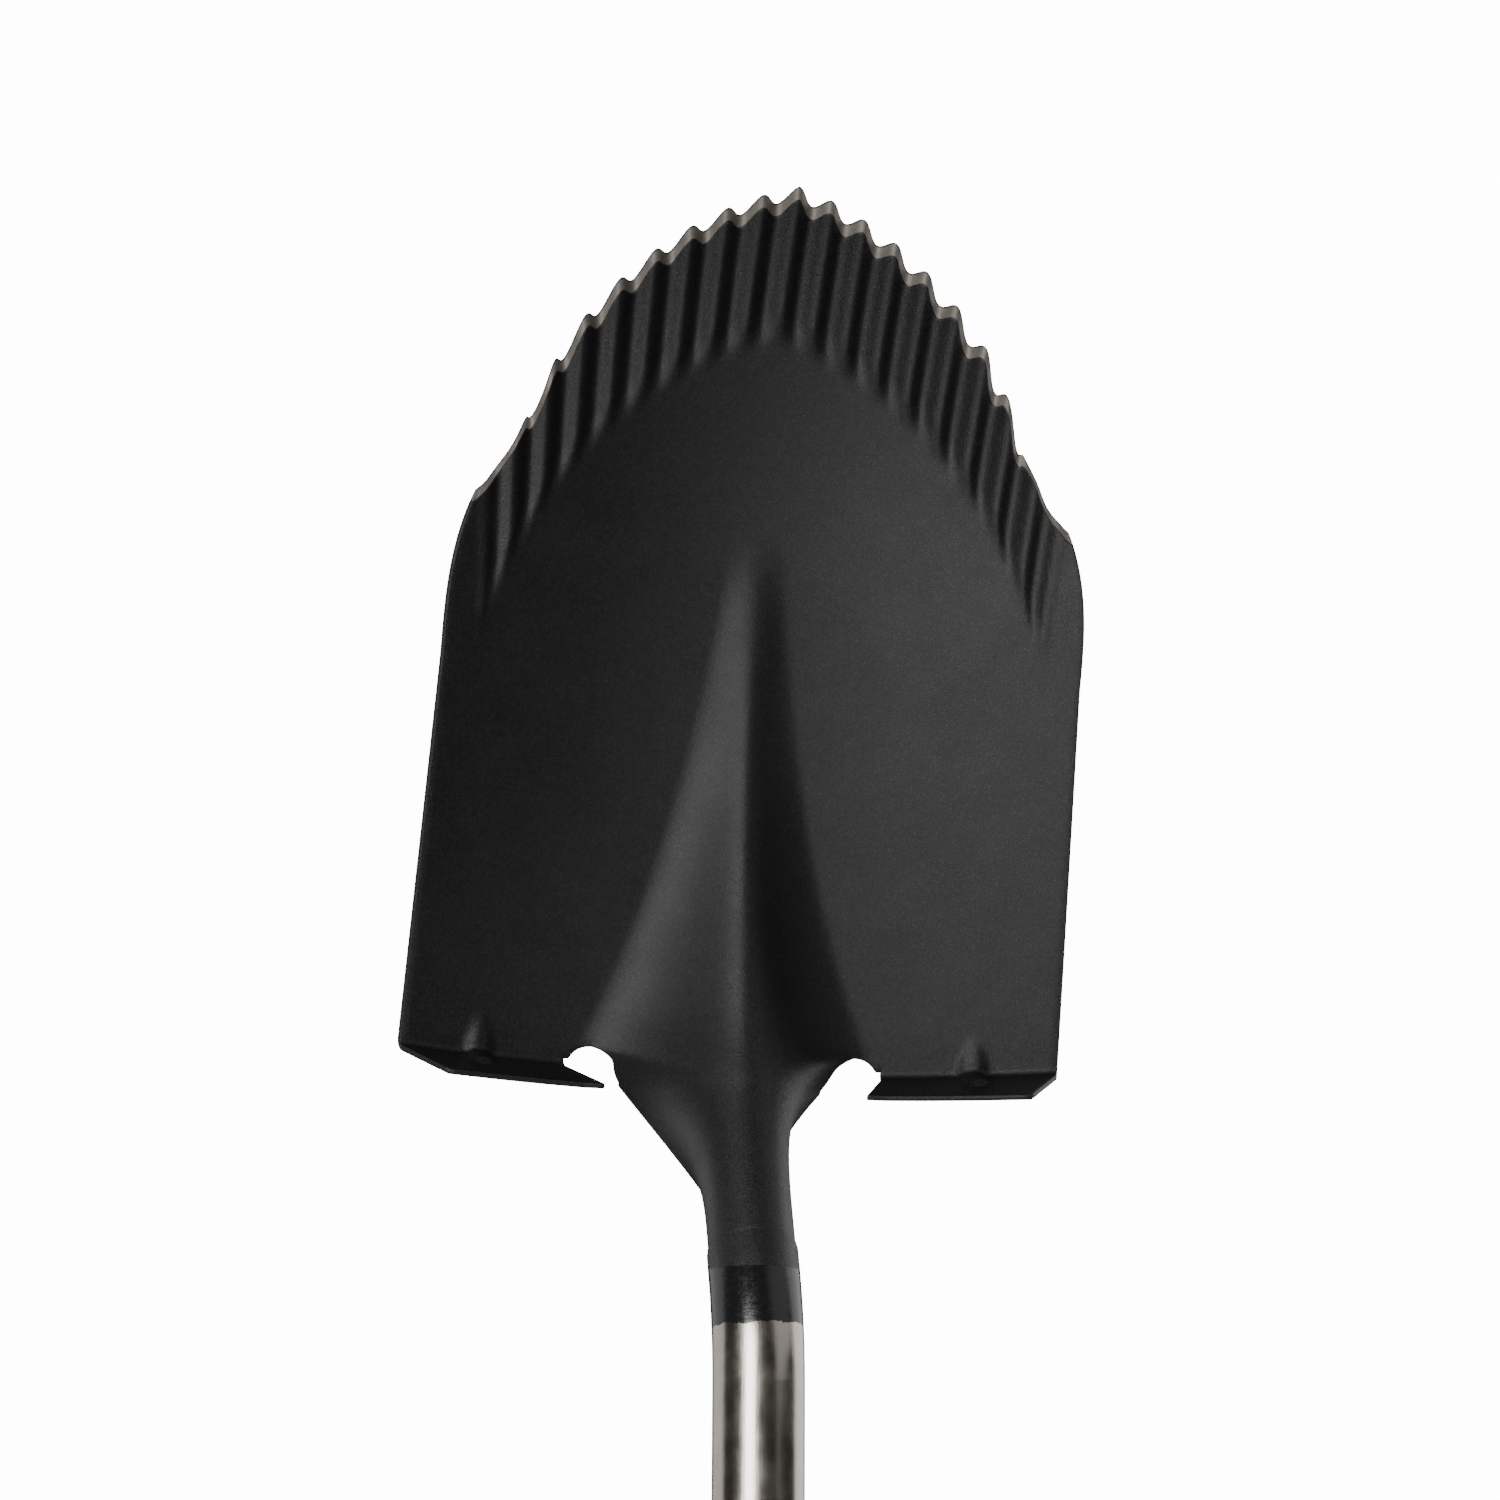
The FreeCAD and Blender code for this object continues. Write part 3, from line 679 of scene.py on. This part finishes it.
# ---------------------------------------------------------------- pieces
def fit_to_node(points, node):
    """Offset that lays the blade's points over the CAD blade: same tip height, same width, same front."""
    low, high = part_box(node)
    return np.array([
        (low.x + high.x) / 2 - (points[:, 0].min() + points[:, 0].max()) / 2,
        high.y - points[:, 1].max(),
        high.z - points[:, 2].max(),
    ])


def make_blade():
    vertices, faces, attributes = blade_mesh(BLADE_COLUMNS)
    turned = vertices * MM @ blade_to_row().T
    offset = fit_to_node(turned, "blade")
    thing = mesh_object("blade_stamping", turned + offset, faces)
    for name, values in attributes.items():
        store = thing.data.attributes.new(name, "FLOAT", "POINT")
        store.data.foreach_set("value", np.asarray(values, np.float32))
    thing.data.materials.append(blade_material())
    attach(thing, "root")
    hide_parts("blade")
    return offset


def dress(node, material):
    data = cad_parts[node].data
    data.materials.clear()
    data.materials.append(material)


def row_point(blade_point, offset):
    return Vector(blade_to_row() @ (np.array(blade_point) * MM) + offset)


def make_camera(offset):
    sy, cy = math.sin(CAMERA_YAW), math.cos(CAMERA_YAW)
    sp, cp = math.sin(CAMERA_PITCH), math.cos(CAMERA_PITCH)
    sr, cr = math.sin(CAMERA_ROLL), math.cos(CAMERA_ROLL)
    toward = np.array([-sy * cp, sp, cy * cp])
    right = np.array([cy, 0, sy])
    up = np.cross(toward, right)
    rolled_right = cr * right + sr * up
    rolled_up = -sr * right + cr * up
    slide_x, slide_y = CAMERA_SLIDE
    place = np.array(CAMERA_AIM) + slide_x * rolled_right + slide_y * rolled_up + CAMERA_DISTANCE * toward
    data = bpy.data.cameras.new("camera")
    data.lens = CAMERA_LENS
    data.sensor_width = 36.0
    data.clip_start = 0.05
    data.clip_end = 50.0
    camera = bpy.data.objects.new("camera", data)
    bpy.context.scene.collection.objects.link(camera)
    turn = blade_to_row()
    axes = np.stack([turn @ rolled_right, turn @ rolled_up, turn @ toward], 1)
    matrix = Matrix(axes.tolist()).to_4x4()
    matrix.translation = row_point(place, offset)
    camera.matrix_world = matrix
    bpy.context.scene.camera = camera
    return camera


def area_light(name, camera, middle, azimuth, elevation, distance, size, power):
    """Rectangular light placed round the object, its angles counted from the camera's line of sight."""
    axes = camera.matrix_world.to_3x3()
    right, up, toward = axes.col[0], axes.col[1], axes.col[2]
    a, e = math.radians(azimuth), math.radians(elevation)
    way = (toward * math.cos(a) + right * math.sin(a)) * math.cos(e) + up * math.sin(e)
    data = bpy.data.lights.new(name, "AREA")
    data.shape = "RECTANGLE"
    data.size, data.size_y = size
    data.energy = power
    light = bpy.data.objects.new(name, data)
    bpy.context.scene.collection.objects.link(light)
    side = way.cross(up).normalized()
    rise = side.cross(way).normalized()
    turn = Matrix((-side, rise, way)).transposed()
    light.matrix_world = Matrix.Translation(middle + way * distance) @ turn.to_4x4()


def make_world():
    """Even dim light on the object, in front of a bright white backdrop."""
    world = bpy.data.worlds.new("studio")
    bpy.context.scene.world = world
    world.use_nodes = True
    tree = world.node_tree
    background = tree.nodes["Background"]
    background.inputs["Color"].default_value = (1, 1, 1, 1)
    sight = tree.nodes.new("ShaderNodeLightPath")
    level = tree.nodes.new("ShaderNodeMapRange")
    level.inputs["To Min"].default_value = AMBIENT
    level.inputs["To Max"].default_value = BACKDROP
    tree.links.new(sight.outputs["Is Camera Ray"], level.inputs["Value"])
    tree.links.new(level.outputs[0], background.inputs["Strength"])


def make_lights(camera, middle):
    for name, *setting in LIGHTS:
        area_light(name, camera, middle, *setting)


def make_floor(level):
    """Plain pale floor under the grip, small enough to stay below the camera's view."""
    corners = ((-1, -1), (1, -1), (1, 1), (-1, 1))
    points = np.array([(x * FLOOR_HALF, y * FLOOR_HALF, level) for x, y in corners])
    floor = mesh_object("floor", points, [[0, 1, 2, 3]])
    n = Nodes("floor_paint")
    tone = n.mix_colour(n.noise(n.position(), 3.0, 2.0), (0.72, 0.71, 0.69), (0.78, 0.77, 0.75))
    n.finish(n.surface(tone, 0.7))
    floor.data.materials.append(n.material)


offset = make_blade()
camera = make_camera(offset)
make_world()
make_floor(cad_box[0].z - FLOOR_GAP)
make_lights(camera, row_point(LIT_POINT, offset))

coat = coat_material()
for node in ("neck_ring_weld", "neck_seam_weld", "shaft_nose_cap", "handle_yoke_left", "handle_yoke_right"):
    dress(node, coat)
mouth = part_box("neck_ring_weld")[0].z
dress("shaft_tube", tube_material(mouth - PAINT_BELOW_WELD, mouth - COAT_BELOW_WELD))
zinc = zinc_material()
for node in ("yoke_rivets", "grip_rod", "grip_core", "grip_washers", "grip_dome_nuts"):
    dress(node, zinc)
dress("grip_sleeve", rubber_material())
dress("shaft_end_plug", plastic_material())
